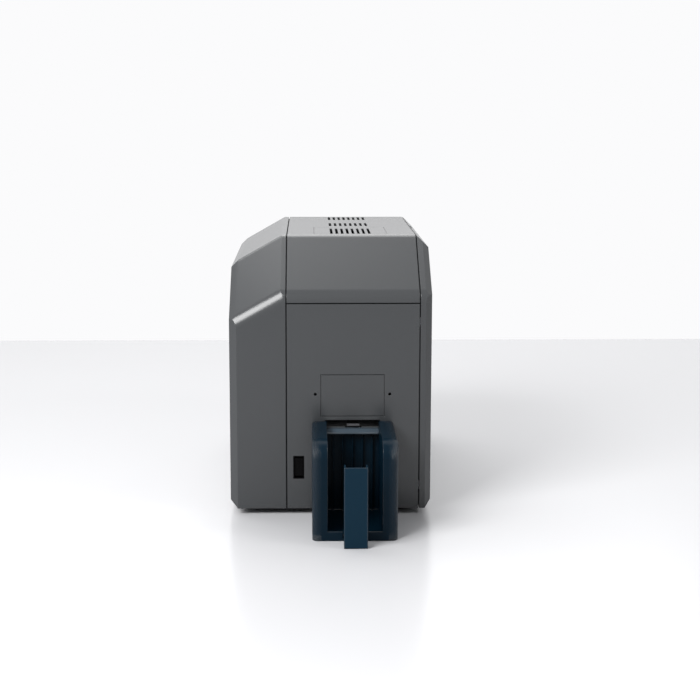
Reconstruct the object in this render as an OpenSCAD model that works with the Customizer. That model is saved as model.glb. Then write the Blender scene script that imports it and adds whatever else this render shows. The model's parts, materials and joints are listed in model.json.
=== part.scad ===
// Desktop card printer: a housing of three upright slabs with a hinged lid, a front door,
// an input door and an output bin, round a card path with rollers, gears and a print head.
// Millimetres. +X is the machine's front, -Y its output side, +Z up. The origin lies on the
// table, below the middle of the whole object.

/* [Housing] */
// Width of the housing, from its back to its front
body_w = 218.6; // [214:1:236]
// Length of the housing, from its output side to its input side
body_l = 376; // [372:1:400]
// Height of the housing's top above the table
body_top = 299.3; // [292:1:330]
// Height of the feet
foot_h = 6.5; // [5:0.5:9]
// Wall of the moulded covers
wall = 2.5; // [2:0.1:3]
// Gap between two covers
seam = 1.2; // [1.1:0.1:1.5]
// Width of the rear housing, as a share of the whole width
rear_share = 0.282; // [0.26:0.002:0.32]
// Thickness of the front door
door_t = 13.1; // [12.8:0.1:16]
// Distance of the lid's lower edge from the top
lid_h = 66.6; // [64:0.2:72]
// How far each end leans back at its top
facet_back = 69; // [60:1:74]
// Distance from the top at which the upright ends turn into the leaning ones
shoulder_drop = 57.8; // [54:0.2:59]
// Radius of that turn
shoulder_r = 20; // [12:1:22]
// Radius between a leaning end and the top
crease_r = 10; // [6:1:12]
// Flat strip of the rear housing beside the lid
strip_w = 6; // [4:0.5:8]
// How far the rear housing's top falls towards the back
slope_drop = 27; // [22:1:32]
// Bevel round the back face
back_cut = 8.2; // [6:0.2:10]
// Bevel along the front door's upper edge
door_cut = 12.6; // [10:0.2:12.6]
// Bevel down the front door's two upright edges
door_bevel = 6.3; // [5:0.1:7]
// Bevel under the front door
door_toe = 8.5; // [7:0.5:10]

/* [Openings of the output side] */
// How far the card path lies behind the middle of the output panel
card_off = 0.45; // [0:0.05:3]
// Height of the card path
card_z = 101.5; // [98:0.5:106]
// Width of the card exit
exit_w = 59.6; // [57:0.2:62]
// Height of the card exit
exit_h = 7.4; // [6:0.2:9]
// Width of the cover plate above the exit
hatch_w = 69; // [60:1:74]
// Height of the cover plate's top
hatch_top = 155.3; // [150:1:165]
// Distance between the two screw holes beside the cover plate
add_on_pitch = 80.4; // [78:0.2:90]
// Height of these screw holes
add_on_z = 133.7; // [125:1:140]
// Radius of these screw holes
add_on_r = 1.6; // [1.2:0.1:2]
// Width of the power switch
switch_w = 11.8; // [10:0.2:14]
// Height of the power switch
switch_h = 25.5; // [22:0.5:28]
// Middle of the power switch, from the rear seam
switch_in = 13.2; // [11:0.2:15]
// Height of the power switch's middle
switch_z = 52.6; // [46:1:60]

/* [Lid] */
// Pitch of the vent slots
vent_pitch = 6.1; // [5.6:0.1:7]
// Width of a vent slot
vent_w = 2.9; // [2:0.1:3.4]
// Number of slots in a row
vent_count = 8; // [6:1:9]
// Length of the slots in the vent panel, as a share of the distance between two rows
vent_long_share = 0.74; // [0.6:0.01:0.78]
// Length of the slots in the lid itself, as a share of the same distance
vent_short_share = 0.44; // [0.36:0.01:0.5]
// Middle of the first row, from the leaning end's top
vent_in = 46; // [42:1:50]
// Middle of the last row, from the lid's edge at the input side
vent_edge = 22; // [20:1:26]
// Width of the vent panel
panel_w = 82.4; // [70:1:86]
// Length of the vent panel, as a share of the distance between two rows
panel_share = 0.98; // [0.86:0.01:1]
// Distance of the lid's hinge from its edge
lid_hinge_in = 8; // [7:0.5:10]
// Depth of the lid's hinge below the top
lid_hinge_drop = 4; // [3.8:0.1:4.2]

/* [Output bin] */
// Width of the bin
bin_w = 88.2; // [84:1:96]
// Length of the bin
bin_l = 93.4; // [92:0.2:100]
// Height of the bin
bin_h = 104; // [100:1:110]
// Width of the space for the cards
bin_in_w = 56.5; // [55:0.5:58]
// Wall of the bin
bin_wall = 2.4; // [2:0.1:3]
// Radius of the bin's upper front
bin_front_r = 19.5; // [12:0.5:22]
// Radius of the bin's upright front edges
bin_corner_r = 6.6; // [4:0.2:8]
// Radius of the bin's upper side edges
bin_edge_r = 4; // [2:0.5:5]
// Height of the bin's front lip
lip_h = 10; // [8:0.5:14]
// How far the card stop's face stands off the bin
stop_reach = 25.2; // [22:0.2:30]
// Width of the card stop
stop_w = 24; // [18:0.5:28]
// Height of the card stop
stop_h = 84.2; // [70:1:90]
// Depth of the card stop's channel
stop_d = 12.4; // [8:0.2:14]
// Wall of the card stop
stop_wall = 1.8; // [1.4:0.1:2.4]

/* [Inside] */
// Distance between the two chassis plates
frame_gap = 66; // [64:0.5:68]
// Thickness of a chassis plate
plate_t = 2; // [1.5:0.1:2.2]
// Radius of the drive rollers
roller_r = 8; // [7:0.2:9]
// Radius of the pinch rollers
pinch_r = 6; // [5:0.2:6.5]
// Radius of every roller's shaft
shaft_r = 3; // [2.5:0.1:3.4]
// Running clearance of a shaft in its bore
run = 0.05; // [0.03:0.01:0.08]
// Gap between a drive roller and its pinch roller
nip = 0.8; // [0.7:0.1:1.2]
// Teeth of a roller's gear
roller_teeth = 24; // [24:2:26]
// Teeth of an idler gear
idler_teeth = 36; // [34:2:36]
// Teeth of the motor's pinion
pinion_teeth = 12; // [12:1:14]
// Width of the gears
gear_w = 5; // [4:0.5:6]
// Distance of the exit roller from the output side
exit_roller_in = 24; // [22:1:28]
// Radius of the full ribbon roll, as a share of the distance between two rollers
ribbon_share = 0.35; // [0.25:0.01:0.38]
// Side of the drive motor
motor_w = 42; // [35:1:42]
// Side of the fan
fan_w = 50; // [40:5:60]

/* [Hidden] */
// Overrun of a cut past the surface that it opens
over = 1;
// Length of the box that cuts a bevel
far_off = 700;
// Gap between two pieces that don't move against each other
fit = 0.3;
// Points along a rounded corner
arc_steps = 8;
// Smoothness of the round pieces
$fn = 48;
// How deep a rib or a boss sinks into the wall that it stands on
sink = 0.25;
// Thickness of the ribs inside the covers
rib_t = 1.6;

total_l = body_l + bin_l + stop_reach;
x_back = -body_w / 2;
x_front = body_w / 2;
y_out = -total_l / 2 + bin_l + stop_reach;
y_in = y_out + body_l;
rear_w = body_w * rear_share;
seam_b = x_back + rear_w;
seam_f = x_front - door_t;
card_x = (seam_b + seam_f) / 2 - card_off;
lid_z = body_top - lid_h;
shoulder_z = body_top - shoulder_drop;
works_h = lid_z - card_z;
half_seam = seam / 2;
break_x = seam_b - strip_w;
slope_w = rear_w - strip_w - back_cut;
slope_a = atan(slope_drop / slope_w);
facet_rise = (body_top - shoulder_z) / facet_back;
top_out = y_out + facet_back;
top_in = y_in - facet_back;

// Intersection of the line through a with direction u and the line through b with direction v
function meet(a, u, b, v) = a + u * cross(b - a, v) / cross(u, v);
function unit(v) = v / norm(v);
function left_of(v) = [-v[1], v[0]];

// A convex outline, given anticlockwise, drawn in by t
function inset(p, t) =
    let (n = len(p))
    [for (i = [0 : n - 1])
        let (a = p[(i + n - 1) % n], b = p[i], c = p[(i + 1) % n],
             u = unit(b - a), v = unit(c - b))
        meet(a + left_of(u) * t, u, b + left_of(v) * t, v)];

// The points of one corner b of an outline, rounded to radius r
function corner(a, b, c, r) =
    r <= 0 ? [b] :
    let (u = unit(a - b), v = unit(c - b),
         half = acos(u * v) / 2,
         mid = b + unit(u + v) * r / sin(half),
         from = atan2((b + u * r / tan(half) - mid)[1], (b + u * r / tan(half) - mid)[0]),
         turn = 180 - 2 * half)
    [for (i = [0 : arc_steps]) mid + r * [cos(from + turn * i / arc_steps),
                                          sin(from + turn * i / arc_steps)]];

// A convex anticlockwise outline with its corners rounded, each to its own radius
function soften(p, r) =
    let (n = len(p))
    [for (i = [0 : n - 1]) each corner(p[(i + n - 1) % n], p[i], p[(i + 1) % n], r[i])];

// The housing seen from its output side
function across() = [
    [x_back + back_cut, foot_h], [x_front - door_bevel, foot_h],
    [x_front, foot_h + door_toe], [x_front, body_top - door_cut],
    [x_front - door_cut, body_top], [break_x, body_top],
    [break_x - slope_w, body_top - slope_drop],
    [x_back, body_top - slope_drop - back_cut], [x_back, foot_h + back_cut]];

// The housing seen from its front: upright ends that lean back above the shoulder
function along(low, scale_z) = [
    [y_out, low], [y_in, low],
    [y_in, (shoulder_z - body_top) * scale_z], [top_in, 0], [top_out, 0],
    [y_out, (shoulder_z - body_top) * scale_z]];
function along_r(t) = [0, 0, shoulder_r - t, crease_r - t, crease_r - t, shoulder_r - t];

// The housing seen from above
function around() = [
    [x_back + back_cut, y_out], [x_front - door_bevel, y_out],
    [x_front, y_out + door_bevel], [x_front, y_in - door_bevel],
    [x_front - door_bevel, y_in], [x_back + back_cut, y_in],
    [x_back, y_in - back_cut], [x_back, y_out + back_cut]];

// Everything outside the plane through p whose outward normal is n, drawn in by t
module outside(p, n, t) {
    translate(p - unit(n) * t)
        rotate([0, acos(unit(n)[2]), atan2(n[1], n[0])])
            translate([-far_off / 2, -far_off / 2, 0])
                cube(far_off);
}

module lengthwise(outline, x0, x1) {
    translate([x0, 0, 0]) rotate([90, 0, 90]) linear_extrude(height = x1 - x0) polygon(outline);
}

module crosswise(outline, y0, y1) {
    translate([0, y1, 0]) rotate([90, 0, 0]) linear_extrude(height = y1 - y0) polygon(outline);
}

module block(low, high) {
    translate(low) cube(high - low);
}

// The outer form of the whole housing, drawn in by t
module form(t) {
    back_z = shoulder_z - (break_x - x_back - back_cut) * tan(slope_a);
    difference() {
        intersection() {
            crosswise(soften(inset(across(), t), [0, 0, 0, 0, 0, strip_w, 0, 0, 0]),
                      y_out - over, y_in + over);
            translate([0, 0, body_top])
                lengthwise(soften(inset(along(foot_h - body_top, 1), t), along_r(t)), x_back, x_front);
            translate([break_x, 0, body_top]) rotate([0, -slope_a, 0])
                lengthwise(soften(inset(along(-far_off, cos(slope_a)), t), along_r(t)), -far_off, far_off);
            translate([0, 0, foot_h - over])
                linear_extrude(height = body_top - foot_h + 2 * over) polygon(inset(around(), t));
        }
        for (s = [-1, 1]) {
            y_end = s < 0 ? y_out : y_in;
            outside([x_back + back_cut, y_end, back_z], [-1, s, 1 / facet_rise], t);
            outside([x_front - door_bevel, y_end, shoulder_z], [1, s, 1 / facet_rise], t);
        }
    }
}

module rod_x(yz, r, x0, x1) {
    translate([x0, yz[0], yz[1]]) rotate([0, 90, 0]) cylinder(r = r, h = x1 - x0);
}

module rod_y(xz, r, y0, y1) {
    translate([xz[0], y0, xz[1]]) rotate([-90, 0, 0]) cylinder(r = r, h = y1 - y0);
}

module rod_z(xy, r, z0, z1) {
    translate([xy[0], xy[1], z0]) cylinder(r = r, h = z1 - z0);
}

// A cover: the housing's skin inside the box from low to high
module skin(low, high) {
    difference() {
        intersection() {
            form(0);
            block(low, high);
        }
        form(wall);
    }
}

// Ribs that stand deep off the inside of the skin, one in each [low, high] box of the list
module ribs(boxes, deep) {
    intersection() {
        difference() {
            form(wall - sink);
            form(wall + deep);
        }
        for (b = boxes) block(b[0], b[1]);
    }
}

// A ring round the X axis
module ring_x(yz, r_in, r_out, x0, x1) {
    difference() {
        rod_x(yz, r_out, x0, x1);
        rod_x(yz, r_in, x0 - over, x1 + over);
    }
}

// Flat colours of the photographed pieces
grey = "#55585b";
teal = "#1c3644";
dark = "#1b1b20";
steel = "#b9bcc0";

green = "#1d5a34";
white = "#dcdcd4";

panel_deep = 30; // how far the two end panels reach along the bottom
panel_b = seam_b + half_seam;
panel_f = seam_f - half_seam;
pan_z = foot_h + wall + fit;
pan_t = 2.5;
pan_top = pan_z + pan_t;

// Feet: rubber discs with a chamfered tread and a neck that sits under the base pan
foot_r = 8;
foot_chamfer = 1;
foot_in_x = 26;
foot_in_y = 28;
foot_at = [for (x = [x_back + foot_in_x, x_front - foot_in_x],
                y = [y_out + foot_in_y, y_in - foot_in_y]) [x, y]];

module feet() {
    color(dark) for (p = foot_at) {
        translate([p[0], p[1], 0]) cylinder(r1 = foot_r - foot_chamfer, r2 = foot_r, h = foot_chamfer);
        rod_z(p, foot_r, foot_chamfer, foot_h - fit);
        rod_z(p, foot_r - 2 * fit, foot_chamfer, pan_z);
    }
}

module foot_holes() {
    for (p = foot_at) rod_z(p, foot_r, foot_h - over, pan_z + over);
}

// Base pan: sheet steel with an upturned rim and two rows of slots for air
rim_h = 8;
rim_t = 1.6;
pan_low = [x_back + back_cut + wall + fit, y_out + wall + fit];
pan_high = [panel_f - fit, y_in - wall - fit];
pan_slots = 9;
pan_slot_w = 4;
pan_slot_l = 36;
pan_slot_pitch = 12;
pan_slot_x = card_x - 44;
pan_slot_y = [y_out + 99, y_in - 117];

module base_pan() {
    color(steel) difference() {
        block([pan_low[0], pan_low[1], pan_z], [pan_high[0], pan_high[1], pan_top + rim_h]);
        block([pan_low[0] + rim_t, pan_low[1] + rim_t, pan_top],
              [pan_high[0] - rim_t, pan_high[1] - rim_t, pan_top + rim_h + over]);
        for (y = pan_slot_y, i = [0 : pan_slots - 1]) {
            x = pan_slot_x + i * pan_slot_pitch;
            block([x, y, pan_z - over], [x + pan_slot_w, y + pan_slot_l, pan_top + over]);
        }
    }
}

// Rear cover: a shell with a rib along its open edge, cross ribs, louvres and holes for the sockets
socket_w = 27.4;
socket_h = 19.6;
socket_at = [y_in - 60, 42];
port_w = 16;
port_h = 13;
port_pitch = 22;
port_at = [y_in - 100, 42];
fan_at = [y_in - 150, lid_z - 32.7];
louvre_h = 3;
louvre_pitch = 7;
louvres = 8;
louvre_l = 48;
edge_rib_in = 10;
rear_rib_deep = 3;
rear_rib_y = [y_out + 50, y_out + 110, y_in - 206, y_in - 111, y_in - 51];
rib_low_z = pan_top + rim_h + 2;

module port_blocks(w, h, x0, x1) {
    for (s = [-1, 1])
        block([x0, port_at[0] + (s * port_pitch - w) / 2, port_at[1] - h / 2],
              [x1, port_at[0] + (s * port_pitch + w) / 2, port_at[1] + h / 2]);
}

module rear_cover() {
    rib_x = seam_b - half_seam - edge_rib_in;
    rib_end = x_back + wall + rear_rib_deep + over;
    flange = inlet_flange + fit;
    color(grey) difference() {
        union() {
            skin([x_back - over, y_out - over, foot_h - over],
                 [seam_b - half_seam, y_in + over, body_top + over]);
            ribs(concat([[[rib_x - rib_t, y_out, rib_low_z], [rib_x, y_in, body_top]]],
                        [for (y = rear_rib_y) [[x_back, y, rib_low_z], [rib_x, y + rib_t, body_top]]]),
                 rear_rib_deep);
        }
        foot_holes();
        for (i = [0 : louvres - 1]) {
            z = fan_at[1] + (i - louvres / 2) * louvre_pitch;
            block([x_back - over, fan_at[0] - louvre_l / 2, z],
                  [x_back + wall + over, fan_at[0] + louvre_l / 2, z + louvre_h]);
        }
        block([x_back - over, socket_at[0] - socket_w / 2 - fit, socket_at[1] - socket_h / 2 - fit],
              [rib_end, socket_at[0] + socket_w / 2 + fit, socket_at[1] + socket_h / 2 + fit]);
        block([x_back + wall, socket_at[0] - socket_w / 2 - flange, socket_at[1] - socket_h / 2 - flange],
              [rib_end, socket_at[0] + socket_w / 2 + flange, socket_at[1] + socket_h / 2 + flange]);
        port_blocks(port_w + 2 * fit, port_h + 2 * fit, x_back - over, rib_end);
    }
}

// Output side panel with the card exit, the seat of its cover plate and the hole for the switch
exit_low = [card_x - exit_w / 2, card_z - exit_h / 2];
hatch_low = exit_low[1] + exit_h + 4;
hatch_line = 0.5;
switch_x = seam_b + switch_in;
boss_wall = 2;
boss_l = 6;
panel_rib_in = [6, 8];
panel_rib_deep = 3;
panel_rib_z = [foot_h + 63.5, lid_z - 22.7];
notch_x = [card_x - 8, card_x + 9.5];
notch_z = card_z - 7;

module output_side_panel() {
    color(grey) difference() {
        union() {
            skin([panel_b, y_out - over, foot_h - over], [panel_f, y_out + panel_deep, lid_z - half_seam]);
            ribs([for (x = [panel_b + panel_rib_in[0], panel_f - panel_rib_in[1]])
                     [[x, y_out, panel_rib_z[0]], [x + rib_t, y_out + panel_deep, panel_rib_z[1]]]],
                 panel_rib_deep);
            for (s = [-1, 1])
                rod_y([card_x + s * add_on_pitch / 2, add_on_z], add_on_r + boss_wall,
                      y_out + wall - sink, y_out + wall + boss_l);
        }
        foot_holes();
        block([exit_low[0], y_out - over, exit_low[1]],
              [exit_low[0] + exit_w, y_out + wall + over, exit_low[1] + exit_h]);
        // notch that the exit lever dips into
        block([notch_x[0], y_out - over, notch_z], [notch_x[1], y_out + wall + over, card_z]);
        block([card_x - hatch_w / 2, y_out - over, hatch_low],
              [card_x + hatch_w / 2, y_out + wall / 2, hatch_top]);
        for (s = [-1, 1])
            rod_y([card_x + s * add_on_pitch / 2, add_on_z], add_on_r,
                  y_out - over, y_out + wall + boss_l + over);
        block([switch_x - switch_w / 2, y_out - over, switch_z - switch_h / 2],
              [switch_x + switch_w / 2, y_out + wall + over, switch_z + switch_h / 2]);
    }
}

// Cover plate over the place for an add-on above the card exit
module exit_hatch() {
    color(grey) block([card_x - hatch_w / 2 + hatch_line, y_out, hatch_low + hatch_line],
                      [card_x + hatch_w / 2 - hatch_line, y_out + wall / 2, hatch_top - hatch_line]);
}

// Power switch: a rocker on a pin in its bezel
bezel_t = 1;
bezel_deep = 14;
rocker_at = [y_out + 6.4, switch_z];
rocker_pin = 1;
rocker_play = 1.4;
rocker_back = y_out + 9;
rocker_half = 5;
rocker_face = [y_out + 2.2, y_out + 1.9, y_out + 0.8];

module switch_bezel() {
    color("black") difference() {
        block([switch_x - switch_w / 2, y_out + fit, switch_z - switch_h / 2],
              [switch_x + switch_w / 2, y_out + bezel_deep, switch_z + switch_h / 2]);
        block([switch_x - switch_w / 2 + bezel_t, y_out - over, switch_z - switch_h / 2 + bezel_t],
              [switch_x + switch_w / 2 - bezel_t, y_out + bezel_deep - bezel_t,
               switch_z + switch_h / 2 - bezel_t]);
        rod_x(rocker_at, rocker_pin, switch_x - switch_w, switch_x + switch_w);
    }
}

module power_switch() {
    half = switch_w / 2 - bezel_t - fit;
    long = switch_h / 2 - bezel_t - rocker_play;
    color("black") {
        lengthwise([[rocker_face[0], switch_z - long], [rocker_back, switch_z - rocker_half],
                    [rocker_back, switch_z + rocker_half], [rocker_face[2], switch_z + long],
                    [rocker_face[1], switch_z]], switch_x - half, switch_x + half);
        rod_x(rocker_at, rocker_pin - run, switch_x - switch_w / 2 + fit, switch_x + switch_w / 2 - fit);
    }
}

// Lid: the leaning near end and the top in one shell, hinged at the input end
lid_back = 8;
lid_end = top_in - lid_back;
lid_axis = [lid_end - lid_hinge_in, body_top - lid_hinge_drop];
pin_r = 1.2;
boss_r = 2.4;
boss_w = 8;
lug_w = 6;
lug_r = lid_hinge_drop - 1;
plate_b = card_x - frame_gap / 2 - plate_t;
plate_f = card_x + frame_gap / 2;
hinge_x = [plate_b + plate_t / 2, plate_f + plate_t / 2];
lug_gap = 0.4;
vent_y = top_out + vent_in;
vent_pitch_y = (lid_end - vent_edge - vent_y) / 2;
vent_long = vent_pitch_y * vent_long_share;
vent_short = vent_pitch_y * vent_short_share;
panel_l = vent_pitch_y * panel_share;
panel_y = vent_y - vent_long / 2 - 1;
panel_lip = 4;
panel_line = 0.4;
lid_rib_in = 4;
lid_rib_deep = 7;
lid_cross_y = [for (share = [-0.52, 0.52, 1.5]) vent_y + share * vent_pitch_y];
lid_cross_deep = 4;

module vents(y_mid, long) {
    for (i = [0 : vent_count - 1]) {
        x = card_x + (i - (vent_count - 1) / 2) * vent_pitch;
        block([x - vent_w / 2, y_mid - long / 2, body_top - wall - over],
              [x + vent_w / 2, y_mid + long / 2, body_top + over]);
    }
}

module top_lid() {
    color(grey) difference() {
        union() {
            skin([panel_b, y_out - over, lid_z + half_seam], [panel_f, lid_end - half_seam, body_top + over]);
            ribs([for (x = [panel_b + lid_rib_in, panel_f - lid_rib_in - rib_t])
                     [[x, y_out, lid_z + half_seam], [x + rib_t, lid_end - half_seam, body_top]]],
                 lid_rib_deep);
            ribs([for (y = lid_cross_y)
                     [[panel_b + lid_rib_in, y, lid_z + half_seam],
                      [panel_f - lid_rib_in, y + rib_t, body_top]]], lid_cross_deep);
            for (x = hinge_x, s = [-1, 1]) {
                x_mid = x + s * (boss_w / 2 + lug_gap + lug_w / 2);
                rod_x(lid_axis, lug_r, x_mid - lug_w / 2, x_mid + lug_w / 2);
            }
        }
        for (x = hinge_x) {
            rod_x(lid_axis, pin_r + run, x - boss_w - lug_w, x + boss_w + lug_w);
            // room round the fixed knuckle
            rod_x(lid_axis, boss_r + fit, x - boss_w / 2 - lug_gap, x + boss_w / 2 + lug_gap);
            block([x - boss_w / 2 - lug_gap, lid_axis[0], lid_axis[1] - boss_r],
                  [x + boss_w / 2 + lug_gap, lid_end, lid_axis[1] + boss_r + fit]);
        }
        for (row = [1, 2]) vents(vent_y + row * vent_pitch_y, vent_short);
        // seat of the vent panel and the hole under it
        block([card_x - panel_w / 2, panel_y, body_top - wall / 2],
              [card_x + panel_w / 2, panel_y + panel_l, body_top + over]);
        block([card_x - panel_w / 2 + panel_lip, panel_y + panel_lip, body_top - wall - over],
              [card_x + panel_w / 2 - panel_lip, panel_y + panel_l - panel_lip, body_top]);
    }
}

// A plate of the vent panel, drawn in by edge on all four sides
module panel_plate(edge, z0, z1) {
    block([card_x - panel_w / 2 + edge, panel_y + edge, z0],
          [card_x + panel_w / 2 - edge, panel_y + panel_l - edge, z1]);
}

module vent_panel() {
    color(grey) difference() {
        union() {
            panel_plate(panel_line, body_top - wall / 2, body_top);
            panel_plate(panel_lip + panel_line, body_top - wall, body_top - wall / 2);
        }
        vents(vent_y, vent_long);
    }
}

// Front door with its strip, lens, button and hinge
door_pin_r = 1.1;
door_boss_r = 2.1;
door_lug_r = 2.4;
door_axis = [seam_f + 6, y_out + 3.4];
door_hinge_z = [foot_h + 23.5, lid_z - 22.7];
knuckle_h = 12;
door_lug_h = 8;
door_rib_z = [for (share = [0.25, 0.5, 0.75]) door_hinge_z[0] + share * (door_hinge_z[1] - door_hinge_z[0])];
door_rib_deep = 3;
door_rib_in = 15;
strip_y = [y_out + 102, y_in - 78];
strip_in = 0.6;
strip_band = 5.6;
strip_t = 1.2;
strip_line = 0.2;
strip_mid = strip_in + strip_band / 2;
button_r = 1.7;
button_play = 0.2;
button_proud = 0.4;
button_flange = 0.4;
flange_t = 0.7;
button_y = (strip_y[0] + strip_y[1]) / 2 - 12;
lens_y = button_y + 16;
lens_r = 1.2;
grip_z = (door_hinge_z[0] + door_hinge_z[1]) / 2;
grip_h = 60;
grip_deep = 5;

// The door's upper bevel as a flat plane: x runs down it from the top, z out of it
module on_bevel() {
    translate([x_front - door_cut, 0, body_top]) rotate([0, 45, 0]) children();
}

module bevel_rod(y, r, z0, z1) {
    on_bevel() rod_z([strip_mid, y], r, z0, z1);
}

module front_door() {
    color(grey) difference() {
        union() {
            skin([seam_f + half_seam, y_out - over, foot_h - over],
                 [x_front + over, y_in + over, body_top + over]);
            ribs([for (z = door_rib_z)
                     [[seam_f + half_seam, y_out + door_rib_in, z],
                      [x_front, y_in - door_rib_in, z + rib_t]]],
                 door_rib_deep);
            intersection() {
                form(wall / 2);
                for (z = door_hinge_z, s = [-1, 1]) {
                    z_mid = z + s * (knuckle_h / 2 + lug_gap + door_lug_h / 2);
                    rod_z(door_axis, door_lug_r, z_mid - door_lug_h / 2, z_mid + door_lug_h / 2);
                    block([door_axis[0] - door_lug_r, y_out, z_mid - door_lug_h / 2],
                          [door_axis[0] + door_lug_r, door_axis[1], z_mid + door_lug_h / 2]);
                }
            }
        }
        for (z = door_hinge_z) {
            rod_z(door_axis, door_pin_r + run, z - knuckle_h / 2 - 2 * door_lug_h,
                  z + knuckle_h / 2 + 2 * door_lug_h);
            // room round the fixed knuckle
            rod_z(door_axis, door_boss_r + fit, z - knuckle_h / 2 - lug_gap, z + knuckle_h / 2 + lug_gap);
            block([seam_f, door_axis[1] - door_boss_r - fit, z - knuckle_h / 2 - lug_gap],
                  [door_axis[0], y_out + wall + fit, z + knuckle_h / 2 + lug_gap]);
        }
        // finger notch in the edge that swings out
        block([seam_f, y_in - wall - over, grip_z - grip_h / 2],
              [seam_f + half_seam + grip_deep, y_in + over, grip_z + grip_h / 2]);
        // groove for the strip, hole for the button, pocket for the lens
        on_bevel() block([strip_in, strip_y[0], -strip_t], [strip_in + strip_band, strip_y[1], over]);
        bevel_rod(button_y, button_r + button_play, -wall - over, over);
        bevel_rod(lens_y, lens_r, -wall, over);
    }
}

module control_strip() {
    color(dark) difference() {
        on_bevel() block([strip_in + strip_line, strip_y[0] + strip_line, -strip_t],
                         [strip_in + strip_band - strip_line, strip_y[1] - strip_line, -strip_line / 2]);
        bevel_rod(button_y, button_r + button_play, -wall, over);
        bevel_rod(lens_y, lens_r, -wall, over);
    }
}

module status_lens() {
    color("lightblue") bevel_rod(lens_y, lens_r - strip_line / 2, -wall + strip_line, strip_line / 2);
}

module start_button() {
    color("black") {
        bevel_rod(button_y, button_r, -wall - fit - flange_t, button_proud);
        bevel_rod(button_y, button_r + button_flange, -wall - fit - flange_t, -wall - fit);
    }
}

// Bent steel arms that carry the front door's knuckles
arm_x = [door_axis[0] - 0.8, door_axis[0] + 1.5];
arm_t = 2;
arm_y = door_axis[1] + 12;
arm_foot = 14;

module door_hinge_brackets() {
    color(steel) for (z = door_hinge_z) {
        z0 = z - knuckle_h / 2;
        z1 = z + knuckle_h / 2;
        difference() {
            union() {
                rod_z(door_axis, door_boss_r, z0, z1);
                block([arm_x[0], door_axis[1], z0], [arm_x[1], arm_y, z1]);
                block([plate_f + plate_t, arm_y - arm_t, z0], [arm_x[1], arm_y, z1]);
                block([plate_f + plate_t, arm_y - arm_t, z0],
                      [plate_f + plate_t + arm_t, arm_y + arm_foot, z1]);
            }
            rod_z(door_axis, door_pin_r, z0 - over, z1 + over);
        }
    }
}

// Input side panel, with the door that the cards go in through
in_door_w = 76;
in_door_z = [card_z + 8.5, lid_z - 10.7];
in_axis = [y_in - 3.4, in_door_z[0] + half_seam + 11];
in_hinge_x = [card_x - 24, card_x + 24];
in_boss_w = 8;
in_lug_w = 6;
in_lug_r = 2.4;
in_arm_t = 3;
in_arm_in = 15.5;
in_arm_drop = 20;
in_gap = 0.4;
in_rib_in = 20;
in_rib_deep = 4;
in_grip_r = 9;

module input_side_panel() {
    color(grey) difference() {
        union() {
            skin([panel_b, y_in - panel_deep, foot_h - over], [panel_f, y_in + over, body_top + over]);
            skin([panel_b, lid_end + half_seam, lid_z], [panel_f, y_in + over, body_top + over]);
            ribs([for (x = [panel_b + in_rib_in, panel_f - in_rib_in])
                     [[x, lid_end + half_seam, in_door_z[1] + in_arm_t], [x + rib_t, y_in, body_top]]],
                 in_rib_deep);
            // fixed arms of the input door's hinge
            for (x = in_hinge_x) difference() {
                union() {
                    rod_x(in_axis, door_boss_r, x - in_boss_w / 2, x + in_boss_w / 2);
                    block([x - in_boss_w / 2, in_axis[0] - in_arm_in, in_axis[1] - in_arm_t / 2],
                          [x + in_boss_w / 2, in_axis[0], in_axis[1] + in_arm_t / 2]);
                    block([x - in_boss_w / 2, in_axis[0] - in_arm_in, in_door_z[0] - in_arm_drop],
                          [x + in_boss_w / 2, in_axis[0] - in_arm_in + in_arm_t, in_axis[1] + in_arm_t / 2]);
                    block([x - in_boss_w / 2, in_axis[0] - in_arm_in, in_door_z[0] - in_arm_drop],
                          [x + in_boss_w / 2, y_in - wall + sink, in_door_z[0] - in_arm_drop + in_arm_t]);
                }
                rod_x(in_axis, door_pin_r, x - in_boss_w, x + in_boss_w);
            }
        }
        foot_holes();
        block([card_x - in_door_w / 2, y_in - wall - fit, in_door_z[0]],
              [card_x + in_door_w / 2, y_in + over, in_door_z[1]]);
    }
}

module input_door() {
    color(grey) difference() {
        union() {
            block([card_x - in_door_w / 2 + half_seam, y_in - wall, in_door_z[0] + half_seam],
                  [card_x + in_door_w / 2 - half_seam, y_in, in_door_z[1] - half_seam]);
            for (x = in_hinge_x, s = [-1, 1]) {
                x_mid = x + s * (in_boss_w / 2 + in_gap + in_lug_w / 2);
                rod_x(in_axis, in_lug_r, x_mid - in_lug_w / 2, x_mid + in_lug_w / 2);
                block([x_mid - in_lug_w / 2, in_axis[0], in_axis[1] - in_lug_r],
                      [x_mid + in_lug_w / 2, y_in - wall / 2, in_axis[1] + in_lug_r]);
            }
        }
        for (x = in_hinge_x) {
            rod_x(in_axis, door_pin_r + run, x - 2 * in_lug_w, x + 2 * in_lug_w);
            rod_x(in_axis, in_lug_r, x - in_boss_w / 2 - in_gap, x + in_boss_w / 2 + in_gap);
            block([x - in_boss_w / 2 - in_gap, y_in - wall - over, in_door_z[0]],
                  [x + in_boss_w / 2 + in_gap, in_axis[0] + in_lug_r, in_axis[1]]);
        }
        // thumb notch in the upper edge
        rod_y([card_x, in_door_z[1] - half_seam], in_grip_r, y_in - wall - over, y_in + over);
    }
}

// Pins of the three hinges
module hinge_pins() {
    color(steel) {
        for (x = hinge_x)
            rod_x(lid_axis, pin_r, x - boss_w / 2 - lug_gap - lug_w, x + boss_w / 2 + lug_gap + lug_w);
        for (z = door_hinge_z)
            rod_z(door_axis, door_pin_r, z - knuckle_h / 2 - lug_gap - door_lug_h,
                  z + knuckle_h / 2 + lug_gap + door_lug_h);
        for (x = in_hinge_x)
            rod_x(in_axis, door_pin_r, x - in_boss_w / 2 - in_gap - in_lug_w,
                  x + in_boss_w / 2 + in_gap + in_lug_w);
    }
}

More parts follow.
